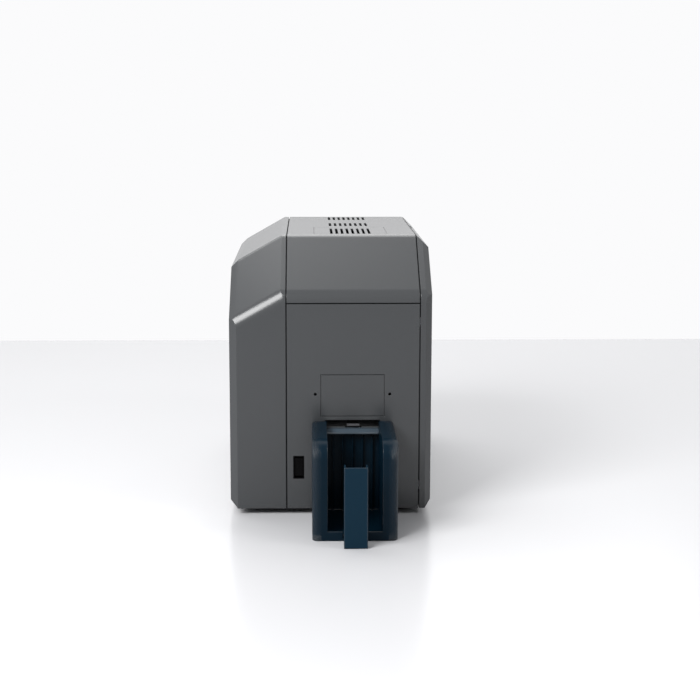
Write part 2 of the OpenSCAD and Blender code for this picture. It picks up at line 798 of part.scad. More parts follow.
// Output bin with its ramp and card stop
bin_x = [card_x - bin_w / 2, card_x + bin_w / 2];
bin_y = y_out - bin_l;
bin_floor = 6;
pocket = [card_x - bin_in_w / 2, card_x + bin_in_w / 2];
back_wall_h = 92.5;
front_wall = 3;
bin_ribs = 5;
bin_rib_pitch = 10.6;
bin_rib_t = 1.8;
bin_rib_deep = 3.2;
bin_rib_drop = 3.5;
slot_z = [2.2, 5.2];
slot_l = 56;
stop_foot_l = 40;
stop_foot_z = [2.5, 4.9];
stop_foot_in = 1;
stop_floor = 5;
slot_play = 0.3;
mouth_play = 0.6;

// The bin's outer form, drawn in by t
module bin_form(t) {
    y1 = y_out - fit;
    intersection() {
        lengthwise(soften(inset([[bin_y, 0], [y1, 0], [y1, bin_h], [bin_y, bin_h]], t),
                          [0, 0, 0, bin_front_r - t]), bin_x[0], bin_x[1]);
        crosswise(soften(inset([[bin_x[0], 0], [bin_x[1], 0], [bin_x[1], bin_h], [bin_x[0], bin_h]], t),
                         [0, 0, bin_edge_r - t, bin_edge_r - t]), bin_y, y_out);
        linear_extrude(height = bin_h)
            polygon(soften(inset([[bin_x[0], bin_y], [bin_x[1], bin_y], [bin_x[1], y1], [bin_x[0], y1]], t),
                           [bin_corner_r - t, bin_corner_r - t, 0, 0]));
    }
}

module output_bin() {
    color(teal) difference() {
        union() {
            difference() {
                bin_form(0);
                // pocket for the cards, open at the top
                block([pocket[0], bin_y + front_wall, bin_floor],
                      [pocket[1], y_out - bin_wall - fit, bin_h + over]);
                // window in the front
                block([pocket[0], bin_y - over, lip_h], [pocket[1], bin_y + front_wall + over, bin_h + over]);
                // way for the cards over the back wall
                block([pocket[0], y_out - bin_wall - fit - over, back_wall_h],
                      [pocket[1], y_out + over, bin_h + over]);
                // hollow sides, open below
                for (s = [-1, 1]) intersection() {
                    bin_form(bin_wall);
                    block([s < 0 ? bin_x[0] : pocket[1] + bin_wall, bin_y, -over],
                          [s < 0 ? pocket[0] - bin_wall : bin_x[1], y_out, bin_h]);
                }
            }
            // ribs down the back wall
            for (i = [0 : bin_ribs - 1]) {
                x = card_x + (i - (bin_ribs - 1) / 2) * bin_rib_pitch;
                block([x - bin_rib_t / 2, y_out - bin_wall - fit - bin_rib_deep, bin_floor - over],
                      [x + bin_rib_t / 2, y_out - bin_wall, back_wall_h - bin_rib_drop]);
            }
        }
        // slot for the card stop's foot, and its mouth up through the lip
        block([card_x - stop_w / 2 + stop_foot_in - slot_play, bin_y - over, slot_z[0]],
              [card_x + stop_w / 2 - stop_foot_in + slot_play, bin_y + slot_l, slot_z[1]]);
        block([card_x - stop_w / 2 - mouth_play, bin_y - over, slot_z[0]],
              [card_x + stop_w / 2 + mouth_play, bin_y + front_wall, lip_h + over]);
    }
}

ramp_l = 12;
ramp_h = 4.2;
ramp_a = 20;
ramp_off = 0.6;

module bin_ramp() {
    y0 = y_out - ramp_l - ramp_off;
    z1 = back_wall_h + fit + ramp_h;
    color("#5a646c") lengthwise([[y0, back_wall_h + fit], [y_out - ramp_off, back_wall_h + fit],
                                 [y_out - ramp_off, z1], [y0 + ramp_l / 2, z1],
                                 [y0, z1 - ramp_l / 2 * tan(ramp_a)]], pocket[0] + fit, pocket[1] - fit);
}

module card_stop() {
    face = bin_y - stop_reach;
    x = [card_x - stop_w / 2, card_x + stop_w / 2];
    color(teal) {
        difference() {
            block([x[0], face, fit], [x[1], face + stop_d, stop_h]);
            block([x[0] + stop_wall, face + stop_wall, stop_floor],
                  [x[1] - stop_wall, face + stop_d + over, stop_h + over]);
        }
        block([x[0] + stop_foot_in, face + stop_wall, stop_foot_z[0]],
              [x[1] - stop_foot_in, bin_y + stop_foot_l, stop_foot_z[1]]);
    }
}

// Chassis: two upright plates, tied by bars, that carry every roller
shaft_z = card_z - nip / 2 - roller_r;
pinch_z = card_z + nip / 2 + pinch_r;
pinch_shaft_r = shaft_r - 1;
tray_back = 76;
tray_room = 36;
stage = (body_l - exit_roller_in - tray_back - tray_room) / 4;
gear_m = stage / (roller_teeth + idler_teeth);
ribbon_r = min(stage * ribbon_share, works_h * ribbon_share / 2);
function stage_y(k) = y_out + exit_roller_in + k * stage;
motor_at = [stage_y(1.5), shaft_z - (idler_teeth + pinion_teeth) * gear_m / 2];
motor_boss_r = 11;
plate_low = [y_out + wall + 10, pan_top];
plate_high = [y_in - 20, lid_z - 4.7];
tower_w = 4;
tower_foot = [16, 8];
tower_drop = 16;
bars = [[plate_low[0] + 14, pan_top + 18], [plate_high[0] - 20, pan_top + 18],
        [plate_low[0] + 14, plate_high[1] - 23], [stage_y(3), plate_high[1] - 12]];
bar_r = 4;
head_axis = [stage_y(2.75), card_z + works_h * 0.23];
spool_z = card_z + works_h * 0.55;
spool_apart = stage * 1.4;
supply_at = [stage_y(2) + spool_apart / 2, spool_z];
takeup_at = [stage_y(2) - spool_apart / 2, spool_z];
takeup_share = 0.6;
window_room = 6;
window_low = [takeup_at[0] - ribbon_r - 9, spool_z - ribbon_r - window_room];
window_high = [supply_at[0] + ribbon_r + 9, spool_z + ribbon_r + 9];
pinched = [0, 1, 3];
light_w = stage * 0.56;
light_z = [pan_top + 12, pan_top + 46];
light_at = [for (k = [0.6, 2.5, 3.3, 4.1]) stage_y(k)];

module plate(x, window) {
    x1 = x + plate_t + over;
    difference() {
        union() {
            block([x, plate_low[0], plate_low[1]], [x + plate_t, plate_high[0], plate_high[1]]);
            // tower up to the lid's hinge
            block([x, lid_axis[0] - tower_w / 2, plate_high[1] - over],
                  [x + plate_t, lid_axis[0] + tower_w / 2, lid_axis[1]]);
            block([x, lid_axis[0] - tower_foot[0], plate_high[1] - over],
                  [x + plate_t, lid_axis[0] + tower_foot[1], lid_axis[1] - tower_drop]);
            rod_x(lid_axis, boss_r, x + plate_t / 2 - boss_w / 2, x + plate_t / 2 + boss_w / 2);
        }
        rod_x(lid_axis, pin_r, x - boss_w, x + boss_w);
        for (k = [0 : 4]) rod_x([stage_y(k), shaft_z], shaft_r + run, x - over, x1);
        for (k = pinched) rod_x([stage_y(k), pinch_z], pinch_shaft_r + run, x - over, x1);
        rod_x(head_axis, pinch_shaft_r + run, x - over, x1);
        // windows that lighten the plate
        for (y = light_at)
            block([x - over, y - light_w / 2, light_z[0]], [x1, y + light_w / 2, light_z[1]]);
        if (window) {
            block([x - over, window_low[0], window_low[1]], [x1, window_high[0], window_high[1]]);
        } else {
            rod_x(motor_at, motor_boss_r + fit, x - over, x1);
            for (k = [0 : 3]) rod_x([stage_y(k + 0.5), shaft_z], shaft_r + run, x - over, x1);
            for (p = [supply_at, takeup_at]) rod_x(p, shaft_r + run, x - over, x1);
        }
    }
}

module chassis_rear_plate() {
    color(steel) plate(plate_b, false);
}

module chassis_front_plate() {
    color(steel) plate(plate_f, true);
}

module chassis_bars() {
    color(steel) for (p = bars) rod_x(p, bar_r, plate_b + plate_t, plate_f);
}

// Gears, rollers and the pins that carry them
gear_x = plate_b - 1 - gear_w;
tip_share = 0.92;
root_share = 1.2;
tooth_shares = [[-0.30, 0], [-0.215, 0.55], [-0.11, 1], [0.11, 1], [0.215, 0.55], [0.30, 0]];
web_deep = 1.3;
web_hub_r = 6;
web_rim = 3;
sleeve_in = 2;
core_r = roller_r - 1.6;
shaft_out = 2;
clip_r = shaft_r + 1.6;
clip_t = 0.8;
clip_gap = 0.4;
pinch_in = 4;
pin_out = 0.6;
cap_t = 1;

// The toothed disc of a spur gear round the X axis, with its back face at x = 0
module toothed_disc(teeth) {
    pitch_r = teeth * gear_m / 2;
    tip = pitch_r + gear_m * tip_share;
    root = pitch_r - gear_m * root_share;
    step = 360 / teeth;
    rotate([0, 90, 0]) linear_extrude(height = gear_w)
        polygon([for (i = [0 : teeth - 1], q = tooth_shares)
            let (r = root + (tip - root) * q[1], a = (i + q[0]) * step) r * [cos(a), sin(a)]]);
}

// A gear with a bore and a recessed web between hub and rim
module gear(teeth, bore) {
    rim_r = teeth * gear_m / 2 - web_rim;
    difference() {
        toothed_disc(teeth);
        rod_x([0, 0], bore, -over, gear_w + over);
        ring_x([0, 0], web_hub_r, rim_r, -over, web_deep);
    }
}

// A drive roller: sleeves is a list of the stretches, as shares of its length, that have rubber
module drive_roller(k, skin_colour, sleeves) {
    p = [stage_y(k), shaft_z];
    x0 = plate_b + plate_t + sleeve_in;
    long = plate_f - sleeve_in - x0;
    color(skin_colour) for (s = sleeves) rod_x(p, roller_r, x0 + s[0] * long, x0 + s[1] * long);
    color(skin_colour) rod_x(p, core_r, x0, x0 + long);
    color(steel) rod_x(p, shaft_r, gear_x - shaft_out / 2, plate_f + plate_t + shaft_out);
    color(steel) rod_x(p, clip_r, plate_f + plate_t + clip_gap, plate_f + plate_t + clip_gap + clip_t);
}

whole = [[0, 1]];
halves = [[0, 0.42], [0.58, 1]];
thirds = [[0.02, 0.26], [0.38, 0.62], [0.74, 0.98]];

module roller_gear(k) {
    color(white) translate([gear_x, stage_y(k), shaft_z]) gear(roller_teeth, shaft_r + run);
}

module pinch_roller(k) {
    p = [stage_y(k), pinch_z];
    color("dimgray") rod_x(p, pinch_r, plate_b + plate_t + pinch_in, plate_f - pinch_in);
    color(steel) rod_x(p, pinch_shaft_r, plate_b - pin_out, plate_f + plate_t + shaft_out);
    color(steel) rod_x(p, clip_r - 1, plate_f + plate_t + clip_gap, plate_f + plate_t + clip_gap + clip_t);
}

module idler(k) {
    half_tooth = 180 / idler_teeth * (roller_teeth / 2 % 2 == 0 ? 1 : 0);
    color(white) translate([gear_x, stage_y(k + 0.5), shaft_z]) rotate([half_tooth, 0, 0])
        gear(idler_teeth, shaft_r + run);
}

module frame_pins() {
    color(steel) {
        rod_x(head_axis, pinch_shaft_r, plate_b - pin_out, plate_f + plate_t + pin_out);
        for (k = [0 : 3]) {
            p = [stage_y(k + 0.5), shaft_z];
            rod_x(p, shaft_r, gear_x - fit, plate_b + plate_t);
            rod_x(p, clip_r, gear_x - fit - cap_t, gear_x - fit);
        }
    }
}

// Drive motor: a stack between two end caps, and its pinion
motor_deep = 34;
motor_cap = 9;
motor_cap_in = 0.8;
motor_cut = 5;
pinion_hub_r = 2.5;

module motor_block(in, x0, x1) {
    half = motor_w / 2 - in;
    translate([0, motor_at[0], motor_at[1]])
        lengthwise([for (a = [0 : 90 : 270], p = [[half, half - motor_cut], [half - motor_cut, half]])
                        [p[0] * cos(a) - p[1] * sin(a), p[0] * sin(a) + p[1] * cos(a)]], x0, x1);
}

module drive_motor() {
    x0 = plate_b + plate_t;
    color(steel) motor_block(0, x0, x0 + motor_cap);
    color(dark) motor_block(motor_cap_in, x0 + motor_cap - over, x0 + motor_deep - motor_cap + over);
    color(steel) motor_block(0, x0 + motor_deep - motor_cap, x0 + motor_deep);
    color(steel) rod_x(motor_at, motor_boss_r, plate_b, x0 + over);
}

module motor_pinion() {
    color("goldenrod") translate([gear_x, motor_at[0], motor_at[1]]) toothed_disc(pinion_teeth);
    color("goldenrod") rod_x(motor_at, pinion_hub_r, gear_x, plate_b - fit);
}

// Card tray of the input side, with the weight that presses the cards down
tray_y = [stage_y(4) - 14, stage_y(4) + tray_back];
tray_wall = 2;
tray_top = lid_z - 20.7;
tray_floor = card_z - nip / 2 - 0.4;
tray_exit_h = 1.4;
tray_arm_in = 16;
tray_arm_w = 10;
tray_arm_z = [card_z + 28.5, card_z + 32.5];
roller_room = 1;

module input_tray() {
    out = bin_in_w / 2 + tray_wall;
    color(teal) {
        // arms that tie the tray to the chassis plates
        for (y = [tray_y[0] + tray_arm_in, tray_y[1] - tray_arm_in]) {
            y0 = y - tray_arm_w / 2;
            block([plate_b + plate_t, y0, tray_arm_z[0]],
                  [card_x - out + over, y0 + tray_arm_w, tray_arm_z[1]]);
            block([card_x + out - over, y0, tray_arm_z[0]], [plate_f, y0 + tray_arm_w, tray_arm_z[1]]);
        }
        difference() {
            block([card_x - out, tray_y[0], tray_floor - tray_wall], [card_x + out, tray_y[1], tray_top]);
            block([pocket[0], tray_y[0] + tray_wall, tray_floor],
                  [pocket[1], tray_y[1] + over, tray_top + over]);
            // way out for the lowest card
            block([pocket[0], tray_y[0] - over, tray_floor - over],
                  [pocket[1], tray_y[0] + tray_wall + over, tray_floor + tray_exit_h]);
            // window for the feed roller
            block([card_x - out - over, stage_y(4) - roller_r - roller_room, tray_floor - tray_wall - over],
                  [card_x + out + over, stage_y(4) + roller_r + roller_room, tray_floor + tray_exit_h]);
        }
    }
}

weight_gap = 0.8;
weight_z = tray_floor + 0.7;
weight_h = 17.3;
weight_rim = 8;
weight_floor = 5.3;
weight_back = 14;
weight_in = 2;

module card_weight() {
    y0 = tray_y[0] + tray_wall + weight_gap;
    y1 = tray_y[1] - weight_gap - weight_in;
    color(dark) difference() {
        block([pocket[0] + weight_gap, y0, weight_z], [pocket[1] - weight_gap, y1, weight_z + weight_h]);
        // hollow that the fingers lift it by
        block([pocket[0] + weight_rim, y0 + weight_rim, weight_z + weight_floor],
              [pocket[1] - weight_rim, y1 - weight_back, weight_z + weight_h + over]);
    }
}

// Ribbon cassette: two cheeks, two tie bars and two spools that run on the drives
cassette_x = [card_x - 30, card_x + 30];
cheek_t = 2;
cheek_room = 4;
cheek_band = [-6, 14];
tie_r = 3;
tie_apart = 20;
tie_up = 8;
tab_half = 18;
tab_t = 1.8;
tab_z = [spool_z + 4, spool_z + 8];
core_end_r = 5;
core_mid_r = 7.5;
core_out = [1, 1.5];
core_in = 3;
roll_in = 4;
drive_in = 6;
drive_flange = 3;
drive_flange_t = 3.6;

module ribbon_cassette() {
    color("#2c5a78") {
        for (x = [cassette_x[0], cassette_x[1] - cheek_t]) difference() {
            union() {
                for (p = [supply_at, takeup_at]) rod_x(p, ribbon_r + cheek_room, x, x + cheek_t);
                block([x, takeup_at[0], spool_z + cheek_band[0]],
                      [x + cheek_t, supply_at[0], spool_z + cheek_band[1]]);
            }
            for (p = [supply_at, takeup_at]) rod_x(p, core_end_r + run, x - over, x + cheek_t + over);
        }
        for (s = [-1, 1])
            rod_x([stage_y(2) + s * tie_apart / 2, spool_z + tie_up], tie_r, cassette_x[0], cassette_x[1]);
        // finger tab on the front cheek
        block([cassette_x[1] - sink, stage_y(2) - tab_half, tab_z[0]],
              [cassette_x[1] + tab_t, stage_y(2) + tab_half, tab_z[1]]);
    }
}

module spool(p, r, roll_colour) {
    difference() {
        union() {
            color(white) rod_x(p, core_end_r, cassette_x[0] - core_out[0], cassette_x[1] + core_out[1]);
            color(white) rod_x(p, core_mid_r, cassette_x[0] + core_in, cassette_x[1] - core_in);
            color(roll_colour) rod_x(p, r, cassette_x[0] + roll_in, cassette_x[1] - roll_in);
        }
        rod_x(p, shaft_r + run, cassette_x[0] - over - core_out[0], cassette_x[0] + drive_in + over);
    }
}

module supply_spool() {
    spool(supply_at, ribbon_r, "#7a2f86");
}

module takeup_spool() {
    spool(takeup_at, ribbon_r * takeup_share, "#23232a");
}

module spool_drives() {
    color(steel) for (p = [supply_at, takeup_at]) {
        rod_x(p, shaft_r, plate_b - clip_gap, cassette_x[0] + drive_in);
        rod_x(p, shaft_r + drive_flange, plate_b - clip_gap - drive_flange_t, plate_b - clip_gap);
    }
}

// Print head on its arm, with its heat sink
arm_half = 24.5;
cheek_half = 7;
arm_eye_r = 5;
arm_low = card_z + works_h * 0.1;
arm_high = card_z + works_h * 0.25;
head_tip = [1.5, 1.6];
head_half = 27;
head_side = [6, 8];
sink_half = 22;
sink_base = 3;
fin_h = 9;
fin_t = 1.2;
fin_pitch = 4;
fins = 11;

module head_arm() {
    y = stage_y(2);
    color(steel) difference() {
        union() {
            for (s = [-1, 1]) {
                x = card_x + s * arm_half - arm_t / 2;
                rod_x(head_axis, arm_eye_r, x, x + arm_t);
                lengthwise([[head_axis[0] - 1, head_axis[1] - arm_eye_r],
                            [head_axis[0] + arm_eye_r * 0.7, head_axis[1] + arm_eye_r * 0.7],
                            [y + cheek_half, arm_high], [y - cheek_half, arm_high],
                            [y - cheek_half, arm_low], [y + cheek_half, arm_low]], x, x + arm_t);
            }
            block([card_x - arm_half - arm_t / 2, y - cheek_half, arm_low],
                  [card_x + arm_half + arm_t / 2, y + cheek_half, arm_low + arm_t]);
        }
        rod_x(head_axis, pinch_shaft_r + run, card_x - 2 * arm_half, card_x + 2 * arm_half);
    }
}

module print_head() {
    y = stage_y(2);
    color("ivory") lengthwise([[y - head_tip[0], card_z + head_tip[1]],
                               [y + head_tip[0], card_z + head_tip[1]],
                               [y + head_side[0], card_z + head_side[1]], [y + head_side[0], arm_low],
                               [y - head_side[0], arm_low], [y - head_side[0], card_z + head_side[1]]],
                              card_x - head_half, card_x + head_half);
}

module heat_sink() {
    y = [stage_y(2) - head_side[0], stage_y(2) + head_side[0]];
    z = arm_low + arm_t;
    color("silver") {
        block([card_x - sink_half, y[0], z], [card_x + sink_half, y[1], z + sink_base]);
        for (i = [0 : fins - 1]) {
            x = card_x + (i - (fins - 1) / 2) * fin_pitch;
            block([x - fin_t / 2, y[0], z + sink_base - sink], [x + fin_t / 2, y[1], z + sink_base + fin_h]);
        }
    }
}

// Control board on four posts, with its chips, plugs and capacitors facing the rear
board_x = plate_b - 26;
board_t = 1.6;
board_y = [stage_y(0) + 20, stage_y(3) + 24];
board_z = [card_z + 22.5, lid_z - 16.7];
post_in = 8;
post_r = 3;
board_size = [board_y[1] - board_y[0], board_z[1] - board_z[0]];
chips = [[0.33, 0.33, 28, 28, 3], [0.6, 0.37, 20, 14, 2], [0.16, 0.48, 16, 12, 2], [0.76, 0.65, 22, 16, 4]];
plugs = 5;
plug_first = board_size[0] * 0.11;
plug_pitch = board_size[0] * 0.14;
plug_size = [9, 18, 7];
plug_up = 4;
caps = [[0.11, 0.78, 5], [0.2, 0.8, 4], [0.54, 0.78, 5], [0.64, 0.8, 5]];
cap_h = 11;

module control_board() {
    color(green) block([board_x, board_y[0], board_z[0]], [board_x + board_t, board_y[1], board_z[1]]);
    color(steel)
        for (y = [board_y[0] + post_in, board_y[1] - post_in],
             z = [board_z[0] + post_in, board_z[1] - post_in])
        rod_x([y, z], post_r, board_x + board_t, plate_b);
    color("black") {
        for (c = chips) {
            p = [board_y[0] + c[0] * board_size[0], board_z[0] + c[1] * board_size[1]];
            block([board_x - c[4], p[0], p[1]], [board_x, p[0] + c[2], p[1] + c[3]]);
        }
        for (i = [0 : plugs - 1]) {
            y = board_y[0] + plug_first + i * plug_pitch;
            block([board_x - plug_size[0], y, board_z[0] + plug_up],
                  [board_x, y + plug_size[1], board_z[0] + plug_up + plug_size[2]]);
        }
        for (c = caps)
            rod_x([board_y[0] + c[0] * board_size[0], board_z[0] + c[1] * board_size[1]], c[2],
                  board_x - cap_h, board_x);
    }
}

// Power supply: a folded case with slots in its lid
supply_x = [x_back + wall + 14, seam_b - 8];
supply_y = [y_out + 60, y_in - 186];
supply_h = 44;
supply_slots = 10;
supply_slot_w = 5;
supply_slot_pitch = 11;
supply_slot_in = [10, 12];
supply_lid_t = 1;

module power_supply() {
    z = pan_top + supply_h;
    color("silver") difference() {
        block([supply_x[0], supply_y[0], pan_top], [supply_x[1], supply_y[1], z]);
        for (i = [0 : supply_slots - 1]) {
            y = supply_y[0] + supply_slot_in[1] + i * supply_slot_pitch;
            block([supply_x[0] + supply_slot_in[0], y, z - supply_lid_t],
                  [supply_x[1] - supply_slot_in[0], y + supply_slot_w, z + over]);
        }
    }
}

// Fan: a square frame with three struts, and its rotor on a pin
fan_x = x_back + wall + fit;
fan_t = 15;
duct_share = 0.46;
fan_hub_r = 9;
fan_hub_t = 4;
strut_w = 3;
strut_t = 2;
fan_pin_r = 1.5;
fan_pin_x = 3;
rotor_r = 10;
rotor_x = [1.5, 10];
rotor_cap = 2.6;
blades = 7;
blade_t = 1.2;
blade_w = 10;
blade_a = 38;
blade_gap = 2;

module fan_frame() {
    color("black") difference() {
        block([fan_x, fan_at[0] - fan_w / 2, fan_at[1] - fan_w / 2],
              [fan_x + fan_t, fan_at[0] + fan_w / 2, fan_at[1] + fan_w / 2]);
        difference() {
            rod_x(fan_at, fan_w * duct_share, fan_x - over, fan_x + fan_t + over);
            rod_x(fan_at, fan_hub_r, fan_x + fan_t - fan_hub_t, fan_x + fan_t);
            for (a = [0, 60, 120]) translate([0, fan_at[0], fan_at[1]]) rotate([a, 0, 0])
                block([fan_x + fan_t - strut_t, -fan_w / 2, -strut_w / 2],
                      [fan_x + fan_t, fan_w / 2, strut_w / 2]);
        }
    }
    color("black") rod_x(fan_at, fan_pin_r, fan_x + fan_pin_x, fan_x + fan_t);
}

module fan_rotor() {
    mid_x = fan_x + (rotor_x[0] + rotor_x[1]) / 2;
    color("dimgray") difference() {
        union() {
            rod_x(fan_at, rotor_r, fan_x + rotor_x[0], fan_x + rotor_x[1]);
            for (i = [0 : blades - 1])
                translate([mid_x, fan_at[0], fan_at[1]]) rotate([i * 360 / blades, 0, 0])
                translate([0, 0, rotor_r - over]) rotate([0, 0, blade_a])
                    block([-blade_t / 2, -blade_w / 2, 0],
                          [blade_t / 2, blade_w / 2, fan_w * duct_share - rotor_r - blade_gap + over]);
        }
        rod_x(fan_at, fan_pin_r + run, fan_x + rotor_cap, fan_x + rotor_x[1] + over);
    }
}

// Power inlet with three blades, and two data ports on a small board
inlet_deep = 22;
inlet_well = 17;
inlet_half = [11, 7];
inlet_flange = 3;
inlet_flange_t = 2;
blade_x = 3;
blade_apart = 7;
blade_half = [1, 2];
port_deep = 18;
port_well = 13;
port_rim = [4, 3];
port_board_t = 1.6;
port_board_room = 6;

module power_inlet() {
    y = socket_at[0];
    z = socket_at[1];
    color("black") difference() {
        union() {
            block([x_back, y - socket_w / 2, z - socket_h / 2],
                  [x_back + inlet_deep, y + socket_w / 2, z + socket_h / 2]);
            block([x_back + wall + fit, y - socket_w / 2 - inlet_flange, z - socket_h / 2 - inlet_flange],
                  [x_back + wall + fit + inlet_flange_t, y + socket_w / 2 + inlet_flange,
                   z + socket_h / 2 + inlet_flange]);
        }
        block([x_back - over, y - inlet_half[0], z - inlet_half[1]],
              [x_back + inlet_well, y + inlet_half[0], z + inlet_half[1]]);
    }
    color("gold") for (d = [-1, 0, 1])
        block([x_back + blade_x, y + d * blade_apart - blade_half[0], z - blade_half[1]],
              [x_back + inlet_well + over, y + d * blade_apart + blade_half[0], z + blade_half[1]]);
}

module data_ports() {
    color("silver") difference() {
        port_blocks(port_w, port_h, x_back + fit, x_back + port_deep);
        port_blocks(port_w - port_rim[0], port_h - port_rim[1], x_back - over, x_back + port_well);
    }
    color(green) block([x_back + port_deep, port_at[0] - port_pitch,
                        port_at[1] - port_h / 2 - port_board_room],
                       [x_back + port_deep + port_board_t, port_at[0] + port_pitch,
                        port_at[1] + port_h / 2 + port_board_room]);
}

// Lever that feels a card leave, and its bracket behind the output panel
lever_axis = [y_out + 11, card_z - 9];
lever_x = [card_x - 6, card_x + 7.5];
lever_boss_r = 3;
lever_pin_r = 1.2;
lever_tab = [y_out + 0.6, y_out + 3.4];
lever_top = card_z - 0.9;
lever_low = card_z - 3;
lever_heel = 0.4;
lever_root = 2;
bracket_x = [card_x - 9, card_x + 9];
bracket_t = 1.6;
bracket_y = [y_out + 7, y_out + 14.5];
bracket_z = 68;
bracket_up = 2.5;

module exit_lever() {
    color("#6e6e70") difference() {
        union() {
            rod_x(lever_axis, lever_boss_r, lever_x[0], lever_x[1]);
            lengthwise([[lever_axis[0] - lever_root, lever_axis[1] - lever_root],
                        [lever_axis[0] + lever_root, lever_axis[1] + lever_root],
                        [lever_tab[1], lever_top], [lever_tab[0], lever_top],
                        [lever_tab[0], lever_low], [lever_tab[1], lever_low - lever_heel]],
                       lever_x[0], lever_x[1]);
        }
        rod_x(lever_axis, lever_pin_r + run, bracket_x[0], bracket_x[1]);
    }
}

module lever_bracket() {
    color(steel) {
        for (x = bracket_x)
            block([x - bracket_t / 2, bracket_y[0], bracket_z + bracket_t / 2],
                  [x + bracket_t / 2, bracket_y[1], lever_axis[1] + bracket_up]);
        block([bracket_x[0] - bracket_t / 2, y_out + wall, bracket_z],
              [bracket_x[1] + bracket_t / 2, bracket_y[1], bracket_z + bracket_t]);
        rod_x(lever_axis, lever_pin_r, bracket_x[0], bracket_x[1]);
    }
}

feet();
base_pan();
rear_cover();
output_side_panel();
exit_hatch();
switch_bezel();
power_switch();
input_side_panel();
input_door();
top_lid();
vent_panel();
front_door();
control_strip();
status_lens();
start_button();
door_hinge_brackets();
hinge_pins();
output_bin();
bin_ramp();
card_stop();
chassis_rear_plate();
chassis_front_plate();
chassis_bars();
drive_roller(0, "#3c3c3e", halves);  // exit_roller
roller_gear(0);  // exit_gear
drive_roller(1, "#3c3c3e", halves);  // transport_roller
roller_gear(1);  // transport_gear
drive_roller(2, "#2b2b2d", whole);  // platen_roller
roller_gear(2);  // platen_gear
drive_roller(3, "#4f86a8", whole);  // cleaning_roller
roller_gear(3);  // cleaning_gear
drive_roller(4, "#6a4a3a", thirds);  // feed_roller
roller_gear(4);  // feed_gear
pinch_roller(0);  // exit_pinch_roller
pinch_roller(1);  // transport_pinch_roller
pinch_roller(3);  // cleaning_pinch_roller
idler(0);  // idler_gear_1
idler(1);  // idler_gear_2
idler(2);  // idler_gear_3
idler(3);  // idler_gear_4
frame_pins();
drive_motor();
motor_pinion();
input_tray();
card_weight();
ribbon_cassette();
supply_spool();
takeup_spool();
head_arm();
print_head();
heat_sink();
control_board();
power_supply();
fan_frame();
fan_rotor();
power_inlet();
data_ports();
exit_lever();
lever_bracket();
spool_drives();
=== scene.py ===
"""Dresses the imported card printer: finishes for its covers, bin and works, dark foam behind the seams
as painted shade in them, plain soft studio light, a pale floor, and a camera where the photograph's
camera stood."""

import json
import math

import bmesh
import bpy
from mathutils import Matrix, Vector


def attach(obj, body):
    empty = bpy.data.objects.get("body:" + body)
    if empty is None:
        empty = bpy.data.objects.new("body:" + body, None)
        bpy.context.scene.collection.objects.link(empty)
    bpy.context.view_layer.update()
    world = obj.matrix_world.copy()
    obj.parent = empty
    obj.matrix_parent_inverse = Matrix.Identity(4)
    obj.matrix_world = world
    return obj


MM = 0.001

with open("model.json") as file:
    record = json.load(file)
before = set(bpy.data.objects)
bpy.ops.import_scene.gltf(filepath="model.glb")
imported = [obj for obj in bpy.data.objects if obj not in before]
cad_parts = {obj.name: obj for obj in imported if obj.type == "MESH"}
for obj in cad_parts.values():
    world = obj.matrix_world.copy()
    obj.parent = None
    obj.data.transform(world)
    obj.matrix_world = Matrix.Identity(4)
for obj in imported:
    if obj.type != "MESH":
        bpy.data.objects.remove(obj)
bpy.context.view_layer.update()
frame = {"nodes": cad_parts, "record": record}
nodes = frame["nodes"]


# Colours and shader nodes


def linear(hex_colour):
    """An sRGB hex colour as linear RGBA."""
    channels = [int(hex_colour[i : i + 2], 16) / 255 for i in (1, 3, 5)]
    return [c / 12.92 if c <= 0.04045 else ((c + 0.055) / 1.055) ** 2.4 for c in channels] + [1.0]


def add_node(tree, kind, settings=None, inputs=None):
    """A shader node with its settings and its inputs; an input that is a socket gets linked."""
    node = tree.nodes.new(kind)
    for name, value in (settings or {}).items():
        setattr(node, name, value)
    for name, value in (inputs or {}).items():
        if isinstance(value, bpy.types.NodeSocket):
            tree.links.new(value, node.inputs[name])
        else:
            node.inputs[name].default_value = value
    return node


def surface(name, **sockets):
    """A material whose Principled BSDF gets these sockets; returns it with its tree and shader."""
    material = bpy.data.materials.new(name)
    material.use_nodes = True
    tree = material.node_tree
    shader = tree.nodes["Principled BSDF"]
    for socket, value in sockets.items():
        shader.inputs[socket.replace("_", " ")].default_value = value
    return material, tree, shader


def place_on_piece(tree):
    """The place on a piece, in metres in the part's own frame."""
    return add_node(tree, "ShaderNodeTexCoord").outputs["Object"]


def map_range(tree, value, source, target):
    """A value mapped from one range to another, and held at its ends."""
    mapped = add_node(tree, "ShaderNodeMapRange", None,
                      {"Value": value, "From Min": source[0], "From Max": source[1],
                       "To Min": target[0], "To Max": target[1]})
    return mapped.outputs[0]


def patches(tree, size_mm, detail=1.0, stretch=(1, 1, 1)):
    """Soft random patches of this size on a piece, drawn out along an axis that is stretched."""
    drawn = add_node(tree, "ShaderNodeMapping", None,
                     {"Vector": place_on_piece(tree), "Scale": [1 / times for times in stretch]})
    noise = add_node(tree, "ShaderNodeTexNoise", {"noise_dimensions": "3D"},
                     {"Vector": drawn.outputs[0], "Scale": 1 / (size_mm * MM), "Detail": detail})
    return noise.outputs["Fac"]


def two_tone(tree, shader, pattern, dark, light):
    """Mixes the base colour from two by a pattern."""
    first_colour, second_colour, mixed_colour = 6, 7, 2
    tone = add_node(tree, "ShaderNodeMix", {"data_type": "RGBA"},
                    {"Factor": pattern, first_colour: linear(dark), second_colour: linear(light)})
    tree.links.new(tone.outputs[mixed_colour], shader.inputs["Base Color"])


